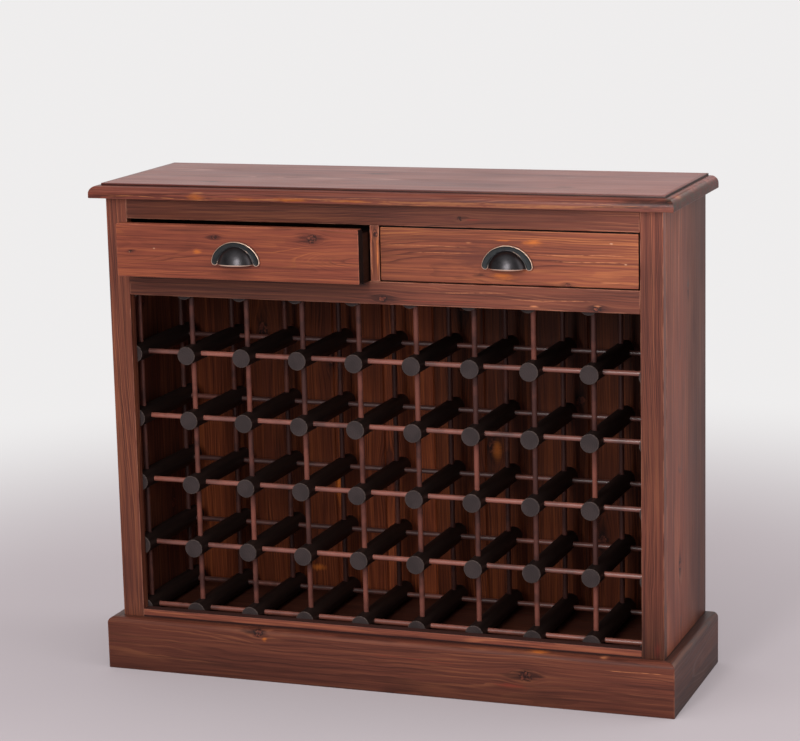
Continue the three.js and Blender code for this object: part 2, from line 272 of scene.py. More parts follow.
class Pine(Graph):
    """The finish of one board. Places on it are in millimetres along and across, from its middle."""

    def __init__(self, name, board, tone, seed, knots, staves, stave_tones, folded):
        super().__init__(bpy.data.materials.new(name))
        self.board = board
        self.tone = TONES[tone]
        self.seed = seed
        self.chance = random.Random(seed)
        place = self.vector("SUBTRACT", self.place(), tuple(board.middle))
        self.axes = self.separate(place)
        along, across, deep = (self.axes[axis] for axis in (board.grain, board.across, board.deep))
        start = tuple(self.chance.uniform(-20, 20) for _ in range(3))
        self.plain = self.vector("ADD", self.combine(along, across, deep), start)
        self.marked = across
        if folded:
            fall = self.math("SUBTRACT", board.size[board.deep] / 2, deep)
            self.marked = self.math("SUBTRACT", across, fall)
        self.stave = None
        if staves:
            along, across = self.cut_staves(along, across, staves * MM, stave_tones)
        for knot in knots:
            across = self.part_round(across, *knot)
        self.along, self.across, self.deep = along, across, deep
        self.grained = self.vector("ADD", self.combine(along, across, deep), start)

    def cut_staves(self, along, across, width, tones):
        """Glued strips, each from another place in the tree and with its own share of tone."""
        count = self.math("FLOOR", self.math("DIVIDE", across, width))
        if tones:
            share = self.math("DIVIDE", self.math("ADD", count, (len(tones) + 1) / 2), len(tones))
            node = self.tree.nodes.new("ShaderNodeValToRGB")
            stops = node.color_ramp.elements
            node.color_ramp.interpolation = "CONSTANT"
            for index, level in enumerate(tones):
                stop = stops[0] if index == 0 else stops.new(index / len(tones))
                stop.color = (level, level, level, 1)
            stops[-1].color = (tones[-1], tones[-1], tones[-1], 1)
            self.tree.links.new(share, node.inputs[0])
            self.stave = node.outputs["Color"]
        else:
            self.stave = self.drawn(count, self.seed)
        shift = self.drawn(count, self.seed + 0.5)
        middle = self.product(self.math("ADD", count, 0.5), width)
        local = self.math("SUBTRACT", across, middle)
        aside = self.math("SUBTRACT", shift, 0.5)
        return (self.math("MULTIPLY_ADD", shift, 3.7, along),
                self.math("MULTIPLY_ADD", aside, 1.6 * width, local))

    def drawn(self, count, seed):
        """A random share from 0 to 1 for each whole number."""
        inputs = {"W": self.math("ADD", count, seed)}
        return self.add("TexWhiteNoise", inputs, "Value", noise_dimensions="1D")

    def away(self, along, across):
        """How far along and across the board a point is from a place on it."""
        return (self.math("SUBTRACT", self.axes[self.board.grain], along * MM),
                self.math("SUBTRACT", self.marked, across * MM))

    def ellipse(self, along, across, length, width):
        """0 at a place and 1 on an ellipse of that length and width round it."""
        x, y = self.away(along, across)
        return self.vector("LENGTH", self.combine(self.math("DIVIDE", x, length * MM / 2),
                                                  self.math("DIVIDE", y, width * MM / 2), 0.0))

    def part_round(self, lines, along, across, radius):
        """The lines of the grain, parted round a knot as a stream parts round a stone."""
        x, y = self.away(along, across)
        x = self.product(x, KNOT_STRETCH)
        square = self.math("ADD", self.product(x, x), self.product(y, y))
        stone = (radius * KNOT_PARTING * MM) ** 2
        share = self.math("DIVIDE", stone, self.math("MAXIMUM", square, stone))
        return self.math("SUBTRACT", lines, self.product(y, share))

    def rings(self, ring, pith, drift, swirls):
        """Growth rings round a pith that lies outside the board, as a share of hard line."""
        if pith is None:
            pith = (self.chance.uniform(-0.3, 0.3) * self.board.size[self.board.across] / MM,
                    self.chance.choice((-1, 1)) * self.chance.uniform(30, 60))
        if drift is None:
            drift = self.chance.choice((-1, 1)) * self.chance.uniform(0.012, 0.035)
        wide = self.span(self.noise(self.grained, (1.6, 7, 7), 1.0), -26 * MM, 26 * MM)
        fine = self.span(self.noise(self.grained, (11, 50, 50), 2.0), -3.2 * MM, 3.2 * MM)
        middle = self.combine(0.0, self.math("SUBTRACT", self.across, pith[0] * MM),
                              self.math("SUBTRACT", self.deep, pith[1] * MM))
        radius = self.math("ADD", self.vector("LENGTH", middle), self.math("ADD", wide, fine))
        radius = self.math("MULTIPLY_ADD", self.along, drift, radius)
        for along, across, length, width, rise in swirls:
            hill = self.ease(self.ellipse(along, across, length, width), 1.0, 0.0)
            radius = self.math("MULTIPLY_ADD", hill, rise * MM, radius)
        phase = self.math("DIVIDE", radius, ring * MM)
        crowd = self.noise(self.combine(phase, 0.0, self.seed * 0.61), (0.4, 1, 1), 1.0)
        phase = self.math("ADD", phase, self.span(crowd, -1.1, 1.1))
        turn = self.math("FRACT", phase)
        line = self.math("SUBTRACT", self.ease(turn, 0.5, 0.88), self.ease(turn, 0.93, 1.0))
        own = self.combine(self.product(self.math("FLOOR", phase), 0.73),
                           self.product(self.along, 2.2), self.seed * 0.37)
        return self.product(line, self.ease(self.noise(own, (1, 1, 1), 1.0), 0.28, 0.56))

    def stain(self, line, contrast):
        """The stain, deeper in soft streaks and blotches and thinner on the hard lines."""
        deep, base, ring = self.tone.deep, self.tone.base, self.tone.ring
        streak = self.noise(self.grained, (2.4, 150, 150), 5.0, 0.64)
        self.fibre = self.noise(self.grained, (7, 380, 380), 3.0, 0.6)
        self.blotch = self.noise(self.grained, (6, 19, 19), 3.0, 0.55)
        turned = self.ease(self.noise(self.grained, (3, 11, 11), 1.0), 0.38, 0.56)
        color = self.lay(base, deep, streak, 0.48, 0.7, 0.75 * contrast)
        color = self.lay(color, ring, streak, 0.5, 0.3, 0.6 * contrast)
        color = self.lay(color, deep, self.blotch, 0.54, 0.8, 0.45 * contrast)
        color = self.lay(color, ring, self.blotch, 0.44, 0.2, 0.3 * contrast)
        color = self.mix(self.product(line, 0.85 * contrast), color, self.mix(turned, ring, deep))
        color = self.lay(color, ring, self.fibre, 0.46, 0.26, 0.4 * contrast)
        return self.lay(color, deep, self.fibre, 0.5, 0.7, 0.75 * contrast)

    def paint_knot(self, color, along, across, radius):
        """A ragged dark knot with a broken warm rim and streaks of deep stain past both sides."""
        ragged = self.span(self.noise(self.plain, (200, 230, 230), 3.0), -0.45, 0.45)
        lumpy = self.span(self.noise(self.plain, (90, 110, 110), 1.0), -0.5, 0.5)
        ragged = self.math("ADD", ragged, lumpy)
        streaky = self.span(self.noise(self.plain, (24, 210, 210), 3.0), -1.1, 1.1)
        field = self.math("ADD", self.ellipse(along, across, radius * 2.9, radius * 2.2), ragged)
        eye = self.math("ADD", self.ellipse(along, across, radius * 13, radius * 4), streaky)
        broken = self.ease(self.noise(self.plain, (210, 230, 230), 1.0), 0.46, 0.6)
        shadow = self.mix(0.35, self.tone.deep, DARK_KNOT_AND_SHADE)
        color = self.lay(color, shadow, eye, 1.1, 0.1, 0.9)
        core = self.mix(self.ease(ragged, -0.2, 0.15), KNOT_CORE, DARK_KNOT_AND_SHADE)
        color = self.lay(color, core, field, 1.05, 0.6, 0.9)
        color = self.mix(self.product(self.band(field, 0.75, 0.35), broken, 0.34), color, KNOT_RIM)
        hidden = self.math("SUBTRACT", 1.0, broken)
        return self.mix(self.product(self.band(field, 1.0, 0.45), hidden, 0.8), color, DARK_KNOT_AND_SHADE)

    def paint_mark(self, color, along, across, length, width, paint=BARE_SPOT):
        """A ragged patch that follows the grain."""
        ragged = self.span(self.noise(self.grained, (40, 260, 260), 4.0, 0.65), -1.2, 1.2)
        field = self.math("ADD", self.ellipse(along, across, length * 1.2, width * 1.2), ragged)
        return self.lay(color, paint, field, 1.3, 0.0, 0.75)

    def paint_line(self, color, along, across, length, width, paint=PALE_LINE):
        """A thin line along the grain that bends a little and fades."""
        x, y = self.away(along, across)
        bend = self.span(self.noise(self.combine(x, 0.0, across), (8, 1, 1), 0.0), -5 * MM, 5 * MM)
        off = self.math("ABSOLUTE", self.math("ADD", y, bend))
        near = self.ease(off, width * MM, width * MM * 0.2)
        inside = self.ease(self.math("ABSOLUTE", x), length * MM / 2, length * MM * 0.3)
        faded = self.ease(self.noise(self.combine(x, y, across), (45, 45, 1), 3.0), 0.32, 0.6)
        return self.mix(self.product(near, inside, faded, 0.75), color, paint)

    def wear(self, color, rubbed):
        """Edges rubbed lighter where they are within a few millimetres of two faces."""
        gaps = []
        for axis in (X, Y, Z):
            half = self.board.size[axis] / 2
            gaps.append(self.math("SUBTRACT", half, self.math("ABSOLUTE", self.axes[axis])))
        first, second, third = gaps
        nearest = self.math("MINIMUM", self.math("MAXIMUM", first, second), third)
        nearest = self.math("MAXIMUM", self.math("MINIMUM", first, second), nearest)
        patchy = self.ease(self.noise(self.grained, (22, 60, 60), 3.0), 0.42, 0.66)
        worn = self.math("SUBTRACT", self.ease(nearest, 2.4 * MM, 0.3 * MM), patchy)
        return self.mix(self.math("MULTIPLY", worn, rubbed, clamp=True), color, self.tone.edge)

    def darken_ends(self, color, dark_edges):
        """End grain drinks the stain in specks. Of dark edges, "ends" or "all" are plain dark: dark
        stain and the painted shade of the gaps they face.
        """
        facing = self.separate(self.add("TexCoord", {}, "Normal"))
        ends = self.math("ABSOLUTE", facing[self.board.grain])
        if dark_edges == "all":
            face = self.math("ABSOLUTE", facing[self.board.deep])
            self.end = self.ease(face, 0.93, 0.7)
            return self.mix(self.end, color, self.tone.end)
        if dark_edges == "ends":
            self.end = self.ease(ends, 0.37, 0.71)
            return self.mix(self.end, color, self.tone.end)
        self.end = self.ease(ends, 0.6, 0.95)
        speck = self.noise(self.grained, (220, 130, 130), 4.0, 0.7)
        paint = self.mix(self.ease(speck, 0.42, 0.6), self.tone.end, self.tone.deep)
        return self.mix(self.product(self.end, 0.92), color, paint)


def pine(name, board, tone, seed, shade=(1.0, 1.0), sides=(1.0, 1.0), ring=5.0, contrast=1.0,
         pith=None, drift=None, swirls=(), knots=(), marks=(), lines=(), staves=0, stave_tones=(),
         rubbed=0.6, dark_edges=None, specular=0.24, polish=0.0, dirty=False, moulding_shade=None,
         gap=None, folded=False):
    """Stained pine with the rings of a solid board. shade runs along it and sides across it: levels
    that scale the colour, for the board's own depth of tone and for painted light and shade. gap
    paints a shadow line along the board.

    On a folded board, places across go on down its front edge, below the top."""
    graph = Pine(name, board, tone, seed, knots, staves, stave_tones, folded)
    line = graph.rings(ring, pith, drift, swirls)
    color = graph.stain(line, contrast)
    for knot in knots:
        color = graph.paint_knot(color, *knot)
    for mark in marks:
        color = graph.paint_mark(color, *mark)
    for pale in lines:
        color = graph.paint_line(color, *pale)
    color = graph.wear(color, rubbed)
    color = graph.darken_ends(color, dark_edges)
    # Painted shade in the plinth's crevice, and a darker step corner on the top
    if dirty:
        color = graph.mix(graph.stored("dirt"), color, DARK_KNOT_AND_SHADE)
    # Painted shade: the moulding's colour darkened against the sheen it catches
    if moulding_shade:
        moulding_shaded = graph.vector("MULTIPLY", color, moulding_shade)
        color = graph.mix(graph.stored("moulded"), color, moulding_shaded)
    # Painted shadow: a dark band along the board where it meets another part
    if gap:
        near = graph.band(graph.axes[board.across], gap[0] * MM, gap[1] * MM)
        color = graph.mix(near, color, DARK_KNOT_AND_SHADE)
    run = 1.0
    for axis, steps in ((board.grain, shade), (board.across, sides)):
        half = board.size[axis] / 2
        run = graph.product(graph.levels(graph.axes[axis], -half, half, steps), run)
    if graph.stave is not None:
        own = graph.stave if stave_tones else graph.span(graph.stave, 0.88, 1.1)
        run = graph.product(run, own)
    color = graph.scaled(color, run)
    rough = graph.span(graph.blotch, 0.4 - polish, 0.54 - polish)
    rough = graph.math("ADD", rough, graph.product(line, -0.06))
    rough = graph.math("MULTIPLY_ADD", graph.end, END_DULLNESS, rough)
    relief = graph.math("ADD", graph.product(line, 0.5), graph.product(graph.fibre, 0.7))
    return graph.surface(color, rough, relief, BOARD_RELIEF, specular_ior_level=specular)


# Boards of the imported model. knots are (along, across, radius), marks and lines (along, across,
# length, width, colour) and swirls (along, across, length, width, rise), all in millimetres.
# A mark without a colour is a bare spot, and a line without one is pale.
def look(tone, seed, **settings):
    return dict(settings, tone=tone, seed=seed)


BOARD_LOOKS = {
    # shade: painted light at the top under the overhang, painted shade towards the floor
    "left_stile": look("case", 11, shade=(0.83, 0.93, 1.0, 1.05, 1.6), ring=3.4, pith=(-60, 30)),
    # shade: painted shade at the foot and painted light at the top under the overhang
    "right_stile": look(
        "case", 12, ring=3.0, pith=(70, 20), contrast=0.95,
        shade=(0.4, 0.45, 1.05, 1.2, 0.95, 1.08, 1.15, 1.25, 2.1),
        marks=[(-332, 9, 28, 12, WORN_RED)]),
    # shade: painted light towards the right end; gap: painted shadow under the top's overhang
    "top_rail": look(
        "case", 13, shade=(1.0, 0.98, 1.0, 1.1, 1.6), ring=4.0, pith=(-40, 30), contrast=0.8,
        gap=(20.4, 3.4), knots=[(160, -4, 3)],
        marks=[(144, -3, 40, 8, DEEP_STAIN), (186, -5, 26, 4, WORN_RED)]),
    # shade: the left half darker, a painted shadow of the drawn-out left drawer
    "mid_rail": look(
        "case", 14, shade=(0.75, 0.66, 0.76, 1.38, 1.44, 1.32), ring=4.2, pith=(45, 35),
        contrast=0.85, knots=[(12.5, -10, 4.5), (409, -14, 4)],
        marks=[(293, -14, 14, 3, PALE_LINE), (408, -9, 10, 2, PALE_LINE),
               (-26, 15, 24, 5, DARK_KNOT_AND_SHADE)],
        lines=[(330, -3, 170, 0.8), (180, 6, 140, 0.8), (120, -12, 180, 0.8, WORN_RED)]),
    # gap: painted shadow where the rail meets the plinth; the dark top face is painted shade over a
    # dark stain
    "bottom_rail": look("case", 15, shade=(1.6, 1.7), pith=(30, 40), rubbed=0.2,
                        gap=(13.4, 2.8), dark_edges="all"),
    "center_mullion": look(
        "case", 16, shade=(1.3, 1.6), ring=2.6, contrast=1.2, deep=Y, rubbed=1.0,
        knots=[(36, 1, 3.6)], marks=[(-6, 5, 60, 3), (30, -6, 30, 3, WORN_RED)],
        lines=[(0, -6, 90, 0.9), (10, 6, 80, 0.9)]),
    "left_side_panel": look("case", 17, contrast=1.2, staves=96, specular=0.1,
                            knots=[(-180, 40, 7), (240, -60, 5)]),
    # sides: lighter at the front and darker at the rear, and shade darker at the foot: painted light
    # and shade
    "right_side_panel": look(
        "case", 18, shade=(0.85, 1.0, 1.0, 1.0), ring=4.6, sides=(1.6, 1.2, 0.44),
        contrast=0.85, staves=96, rubbed=0.8, specular=0.14,
        knots=[(287, 11, 4), (-205, -52, 6)]),
    "plinth_back_rail": look("inner", 19),
    "bottom_shelf": look("case", 20, shade=(0.42, 0.42)),
    "drawer_deck": look("inner", 21, ring=6.0),
    "drawer_divider": look("inner", 22),
    "left_drawer_guide": look("inner", 23),
    "right_drawer_guide": look("inner", 24),
    "left_top_cleat": look("inner", 25),
    "right_top_cleat": look("inner", 26),
    # shade: lighter at the bottom and darker at the top, painted shade from above. stave_tones fall
    # towards the right: each board's own tone and painted shade
    "back_panel": look(
        "inner", 27, grain=Z, bevel=0.5, contrast=0.8, staves=102.1, shade=(1.35, 1.0, 0.85),
        specular=0.1, stave_tones=(0.72, 0.6, 0.62, 0.9, 1.15, 0.58, 0.5, 0.47, 0.48, 0.42),
        knots=[(-120, -95, 9), (95, -210, 7), (-60, 118, 10), (210, 60, 8), (-230, 330, 9),
               (40, 290, 7), (150, -350, 8)],
        marks=[(-323, -247.6, 12, 26), (-60, 125, 40, 16), (-150, -200, 60, 14)]),
    # Its ends plain dark: end-grain stain and the painted shade of the gap by the mullion
    "left_drawer_front": look(
        "drawer", 31, shade=(0.96, 0.96, 0.92, 1.03), ring=4.0, pith=(20, 44), drift=0.02,
        bevel=2.4, dark_edges="ends", rubbed=0.5, contrast=0.8,
        knots=[(148.3, 30.2, 5.4), (-41, 28.5, 2.8), (-207.5, -2, 1.8)],
        swirls=[(240, -4, 372, 58, 34)],
        marks=[(-160.6, 5, 4, 2.4, PALE_CHIP), (-75.5, 2, 15, 8),
               (-210, -3, 5, 1.8, PALE_CHIP)]),
    # Its edges plain dark: the painted shade of the gaps round the front
    "right_drawer_front": look(
        "pale_drawer", 37, shade=(1.0, 1.36), ring=3.8, pith=(-30, -46), drift=-0.012,
        bevel=2.4, dark_edges="all", rubbed=0.3, contrast=0.88, knots=[(110, -46, 3)],
        marks=[(47, 28, 30, 12), (-10, -33, 40, 10), (-62, -2, 110, 44, DEEP_STAIN),
               (-5.7, 30, 26, 2.6), (188, 29.5, 5, 2, PALE_CHIP),
               (213, -5.8, 5, 2, PALE_CHIP), (-51, -33, 20, 5, DARK_KNOT_AND_SHADE),
               (-72, 24, 10, 2.4, PALE_LINE)],
        lines=[(137, 6.5, 190, 1.1), (150, -4, 150, 1.1), (190, -38.6, 50, 1.0),
               (-150, 17, 170, 1.1), (-120, 5, 120, 0.9)]),
}
# Drawer boxes: dark stain, with the sides near black and darkest at the front, the painted shade of
# the gaps beside the fronts
BOX_LEVELS = (("left_side", 0.1), ("right_side", 0.1), ("back", 0.22), ("bottom", 0.3))
for drawer, first_seed in (("left_drawer", 40), ("right_drawer", 50)):
    for seed, (part, level) in enumerate(BOX_LEVELS, start=first_seed):
        shade = (level * 0.5, level, level)
        BOARD_LOOKS[f"{drawer}_{part}"] = look("inner", seed, shade=shade)

# Rounding of the boards' edges
WELD_REACH = 0.01 * MM
ROUNDING_STEPS = 3
ROUNDED_ANGLE = math.radians(50)


def finish_board(node, bevel=0.9, grain=None, deep=None, **settings):
    """A board keeps its solid. Its edges are rounded by modifiers and its finish is replaced."""
    solid = nodes[node]
    material = pine(node + "_pine", Board(*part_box(node), grain, deep), **settings)
    solid.data.materials.clear()
    solid.data.materials.append(material)
    weld = solid.modifiers.new("weld", "WELD")
    weld.merge_threshold = WELD_REACH
    rounding = solid.modifiers.new("rounding", "BEVEL")
    rounding.width = bevel * MM
    rounding.segments = ROUNDING_STEPS
    rounding.limit_method = "ANGLE"
    rounding.angle_limit = ROUNDED_ANGLE
    rounding.use_clamp_overlap = False


for node, settings in BOARD_LOOKS.items():
    finish_board(node, **settings)


# Mesh tools
def loft(rings):
    """Faces over rings with the same number of points, closed by a face at both ends."""
    count = len(rings[0])
    points = [point for ring in rings for point in ring]
    faces = []
    for ring in range(len(rings) - 1):
        for point in range(count):
            a = ring * count + point
            b = ring * count + (point + 1) % count
            faces.append((a, b, b + count, a + count))
    last = (len(rings) - 1) * count
    faces.append(tuple(reversed(range(count))))
    faces.append(tuple(range(last, last + count)))
    return points, faces


def joined(shapes):
    """Several point and face lists as one."""
    points, faces = [], []
    for shape_points, shape_faces in shapes:
        start = len(points)
        points += shape_points
        faces += [tuple(start + index for index in face) for face in shape_faces]
    return points, faces


def store(mesh, name, values):
    """Keeps one number or vector for each point of a mesh, for its material to read."""
    if isinstance(values[0], tuple):
        flat = [part for value in values for part in value]
        mesh.attributes.new(name, "FLOAT_VECTOR", "POINT").data.foreach_set("vector", flat)
    else:
        mesh.attributes.new(name, "FLOAT", "POINT").data.foreach_set("value", values)


def add_piece(name, shape, material, body, replaced, slot, sharp=32, **kept):
    """A mesh that stands for a node of the model; kept holds lists of values for its points."""
    points, faces = shape
    mesh = bpy.data.meshes.new(name)
    mesh.from_pydata(points, [], faces)
    mesh.materials.append(material)
    mesh.shade_smooth()
    mesh.set_sharp_from_angle(angle=math.radians(sharp))
    for key, values in kept.items():
        store(mesh, key, values)
    piece = placed(name, mesh)
    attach(piece, body)
    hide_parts(replaced)


# Top: a step and a quarter round above a flat nose, on the front and both ends
OVOLO_RADIUS = 14 * MM
QUIRK_WIDTH = 4.6 * MM
QUIRK_HEIGHT = 4 * MM
OVOLO_STEPS = 14
QUIRK_ROUNDING = 0.7 * MM
# How far the top darkens from the step's corner: over the flat, over the ledge and in the corner
FLAT_DARK_REACH = 9 * MM
LEDGE_DARK_REACH = 1.6 * MM
CORNER_DARK_REACH = 0.2 * MM


def make_top():
    low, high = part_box("top_panel")
    thickness = high.z - low.z
    nose = thickness - QUIRK_HEIGHT - OVOLO_RADIUS
    step_inset = OVOLO_RADIUS + QUIRK_WIDTH
    softening = QUIRK_ROUNDING
    # Each edge line is (inset, rise, darkness)
    edge = [(softening, 0.0, 0.0), (0.0, softening, 0.0), (0.0, nose * 0.6, 0.0)]
    for step in range(OVOLO_STEPS + 1):
        angle = step / OVOLO_STEPS * math.pi / 2
        inset = OVOLO_RADIUS * (1 - math.cos(angle))
        edge.append((inset, nose + OVOLO_RADIUS * math.sin(angle), 0.0))
    ledge = thickness - QUIRK_HEIGHT
    edge += [(step_inset - LEDGE_DARK_REACH, ledge, 0.45), (step_inset - CORNER_DARK_REACH, ledge, 0.9),
             (step_inset, ledge + CORNER_DARK_REACH, 0.95), (step_inset, thickness - softening, 0.5),
             (step_inset + softening * 0.3, thickness - softening * 0.3, 0.4),
             (step_inset + softening, thickness, 0.4),
             (step_inset + FLAT_DARK_REACH, thickness, 0.0)]
    rings, dirt, moulded = [], [], []
    for inset, rise, darkness in edge:
        left, right, front = low.x + inset, high.x - inset, low.y + inset
        z = low.z + rise
        rings.append([(left, front, z), (right, front, z), (right, high.y, z), (left, high.y, z)])
        dirt += [darkness] * 4
        ahead = 1.0 if rise < ledge + softening else 0.0
        moulded += [ahead, ahead, 0.0, 0.0]
    # Painted light and shade: lighter at the right end and at the front, darker towards the back. The
    # moulding's darker tint is painted shade against the sheen it catches
    material = pine(
        "top_pine", Board(low, high), "top", 61, pith=(30, 40), staves=97, specular=0.31,
        polish=0.1, rubbed=0.4, dirty=True, shade=(1.0, 0.94, 0.9, 1.08),
        sides=(1.12, 1.0, 0.85), moulding_shade=(0.7, 0.7, 0.6), folded=True,
        knots=[(-70, 60, 6), (330, -70, 4), (-330, -98, 5), (541, -178, 5)],
        marks=[(-334, -189, 30, 9), (-330, -180, 24, 4, PALE_LINE), (-236, -191, 40, 5),
               (-190, -191, 44, 5, PALE_LINE), (-150, -190, 60, 6), (-30, -190, 80, 5),
               (120, -190, 160, 4, PALE_LINE), (330, -191, 160, 4, PALE_LINE),
               (500, -178, 90, 22, DARK_KNOT_AND_SHADE), (541, -160, 14, 30, WORN_GREY),
               (546, -120, 10, 24, PALE_LINE), (545, -70, 14, 70, WORN_GREY),
               (547, 50, 12, 90, WORN_GREY)],
        lines=[(-400, -192, 260, 1.2), (-180, -190, 300, 1.4), (-60, -186, 240, 1.0),
               (20, -192, 260, 1.2), (150, -188, 320, 1.4), (250, -193, 260, 1.2),
               (340, -189, 300, 1.4), (420, -184, 200, 1.0)])
    add_piece("top_board", loft(rings), material, "case", "top_panel", "top_wood", dirt=dirt,
              moulded=moulded)


# Plinth: boards with a rounded upper edge, mitred at the front corners
PLINTH_RADIUS = 10 * MM
PLINTH_STEPS = 8
PLINTH_TOE = 1.2 * MM
CREVICE = 3 * MM


def plinth_section(inner, outer, top):
    """Points [outward, up] round a board's section; the last two lie in the crevice against the face
    frame, where painted shade darkens the board.
    """
    points = [(inner, 0.0), (outer - PLINTH_TOE, 0.0), (outer, PLINTH_TOE)]
    for step in range(PLINTH_STEPS + 1):
        angle = step / PLINTH_STEPS * math.pi / 2
        outward = outer - PLINTH_RADIUS * (1 - math.cos(angle))
        points.append((outward, top - PLINTH_RADIUS * (1 - math.sin(angle))))
    points += [(inner + CREVICE, top), (inner, top)]
    return points


def make_plinth():
    low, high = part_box("plinth_front")
    top = high.z
    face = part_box("left_stile")[0].y
    case_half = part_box("right_side_panel")[1].x
    inner = face - high.y
    outer = face - low.y
    section = plinth_section(inner, outer, top)
    # Painted shade in the crevice at the back of the plinth's top
    dirt = [0.0] * (len(section) - 2) + [0.5, 1.0]
    ends = [[(sign * (case_half + out), face - out, up) for out, up in section]
            for sign in (1, -1)]
    # Darker towards the floor: painted shade and grime. Painted shade also darkens the crevice against
    # the face frame
    material = pine(
        "plinth_front_pine", Board(low, high), "case", 71, shade=(0.76, 0.8, 0.9, 0.86, 1.12),
        sides=(0.7, 0.96, 1.06), ring=4.6, dirty=True, pith=(-30, 50), drift=0.015,
        rubbed=0.35, specular=0.2, contrast=0.75, knots=[(-241, 43, 5), (276, 5.6, 7)],
        marks=[(-229, 33, 10, 8), (297, 50, 34, 3), (419, 50, 14, 2.4, PALE_LINE),
               (250, -14, 50, 8, WORN_RED)],
        lines=[(480, 30, 120, 0.9), (60, 20, 200, 0.9, WORN_RED)])
    add_piece("plinth_front_board", loft(ends), material, "case", "plinth_front", "case_wood",
              dirt=dirt * 2)
    for name, sign, level in (("left", -1, 0.8), ("right", 1, 0.5)):
        side_low, side_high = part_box(f"plinth_{name}")
        gap = side_low.y - low.y
        mitre = [(sign * (case_half + out), face - out + gap, up) for out, up in section]
        rear = [(sign * (case_half + out), side_high.y, up) for out, up in section]
        ends = [rear, mitre] if sign > 0 else [mitre, rear]
        # Darker towards the floor: painted shade and grime, with painted shade in the crevice
        material = pine(f"plinth_{name}_pine", Board(side_low, side_high), "case", 72 + sign,
                        shade=(level, level), sides=(0.4, 0.92, 0.98), rubbed=0.35, dirty=True)
        add_piece(f"plinth_{name}_board", loft(ends), material, "case", f"plinth_{name}",
                  "case_wood", dirt=dirt * 2)


# Rack
COLUMNS = 10
ROWS = 6
BAR_SIDES = 40
BAR_CHAMFER = 0.9 * MM
ROD_SIDES = 20
ROD_RADIUS = 4.8 * MM
RIM_WIDTH = 1.8 * MM
BAR_TONE = rgb(34, 22, 19)
BAR_STREAK = rgb(22, 14, 12)
CAP_TONE = rgb(68, 56, 55)
CAP_GRAIN = rgb(40, 32, 32)
# The cap's lighter rim is a painted highlight on its chamfer
CAP_HIGHLIGHT = rgb(108, 92, 84)
ROD_TONE = rgb(164, 96, 80)
ROD_DEEP = rgb(72, 44, 40)
# The pith lies off the middle of a bar's end, and this many radians of rings fill a metre
BAR_PITH = (0.011, 0.0, 0.006)
BAR_RINGS = 1500.0


def bar_material(radius):
    """Dark stain along the bar and dull grey-brown end grain with a lighter rim that is a painted
    highlight.
    """
    graph = Graph(bpy.data.materials.new("bar_stain"))
    section = graph.stored("section", "Vector")
    place = graph.place()
    streak = graph.noise(place, (240, 8, 240), 3.0, 0.6)
    blotch = graph.noise(place, (40, 14, 40), 2.0)
    speck = graph.noise(place, (700, 700, 700), 3.0, 0.6)
    side = graph.mix(graph.ease(streak, 0.4, 0.7), BAR_TONE, BAR_STREAK)
    pith_away = graph.vector("LENGTH", graph.vector("ADD", section, BAR_PITH))
    pith_away = graph.math("MULTIPLY_ADD", blotch, 0.003, pith_away)
    rings = graph.math("SINE", graph.product(pith_away, BAR_RINGS))
    cap = graph.mix(graph.span(rings, 0.25, 0.55), CAP_TONE, CAP_GRAIN)
    cap = graph.lay(cap, CAP_GRAIN, speck, 0.48, 0.7, 0.6)
    cap = graph.lay(cap, CAP_GRAIN, blotch, 0.35, 0.65, 0.5)
    # Painted highlight: a lighter rim round the cap's chamfer, in specks
    rim_highlight = graph.ease(graph.vector("LENGTH", section), radius - RIM_WIDTH, radius - RIM_WIDTH / 3)
    cap = graph.mix(graph.product(rim_highlight, graph.ease(speck, 0.6, 0.42), 0.7), cap, CAP_HIGHLIGHT)
    facing = graph.separate(graph.add("TexCoord", {}, "Normal"))[Y]
    end = graph.ease(graph.math("ABSOLUTE", facing), 0.45, 0.8)
    color = graph.mix(end, side, cap)
    roughness = graph.blend(end, graph.span(blotch, 0.45, 0.6), 0.62)
    relief = graph.math("ADD", graph.product(streak, 0.6), graph.product(speck, 0.4))
    return graph.surface(color, roughness, relief, BAR_RELIEF, specular_ior_level=0.25)


def rod_material(name, coat, specular):
    """Satin reddish stain; each rod has its own depth of tone."""
    graph = Graph(bpy.data.materials.new(name))
    place = graph.place()
    blotch = graph.noise(place, (26, 26, 26), 3.0)
    fine = graph.noise(place, (420, 420, 420), 2.0)
    patch = graph.product(graph.ease(blotch, 0.4, 0.7), 0.35)
    share = graph.math("ADD", graph.stored("tone"), patch, clamp=True)
    color = graph.mix(share, ROD_TONE, ROD_DEEP)
    color = graph.lay(color, ROD_DEEP, fine, 0.5, 0.75, 0.25)
    return graph.surface(color, graph.span(blotch, 0.3, 0.42), fine, ROD_RELIEF,
                         coat_weight=coat, coat_roughness=0.2, specular_ior_level=specular)


def circle(centre, axis, radius, sides):
    """Points round an axis; they run so that a loft towards +axis faces outwards."""
    first, second = {X: (Y, Z), Y: (Z, X), Z: (X, Y)}[axis]
    points = []
    for side in range(sides):
        angle = 2 * math.pi * side / sides
        point = list(centre)
        point[first] += radius * math.cos(angle)
        point[second] += radius * math.sin(angle)
        points.append(tuple(point))
    return points


def turned(centre, axis, profile, sides):
    """A solid turned round an axis, from a profile of (place on the axis, radius)."""
    rings = []
    for place, radius in profile:
        middle = list(centre)
        middle[axis] = place
        rings.append(circle(middle, axis, radius, sides))
    return loft(rings)


def middle_of(node, axis):
    low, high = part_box(node)
    return (low[axis] + high[axis]) / 2


def add_rods(name, rods, finish, node, chance, dark):
    """Rods as one piece; dark runs from 0 to 1 and each rod's own tone varies round it."""
    tones = []
    for points, _ in rods:
        tones += [dark + chance.uniform(-0.25, 0.25)] * len(points)
    add_piece(name, joined(rods), finish, "case", node, "rod_wood", tone=tones)


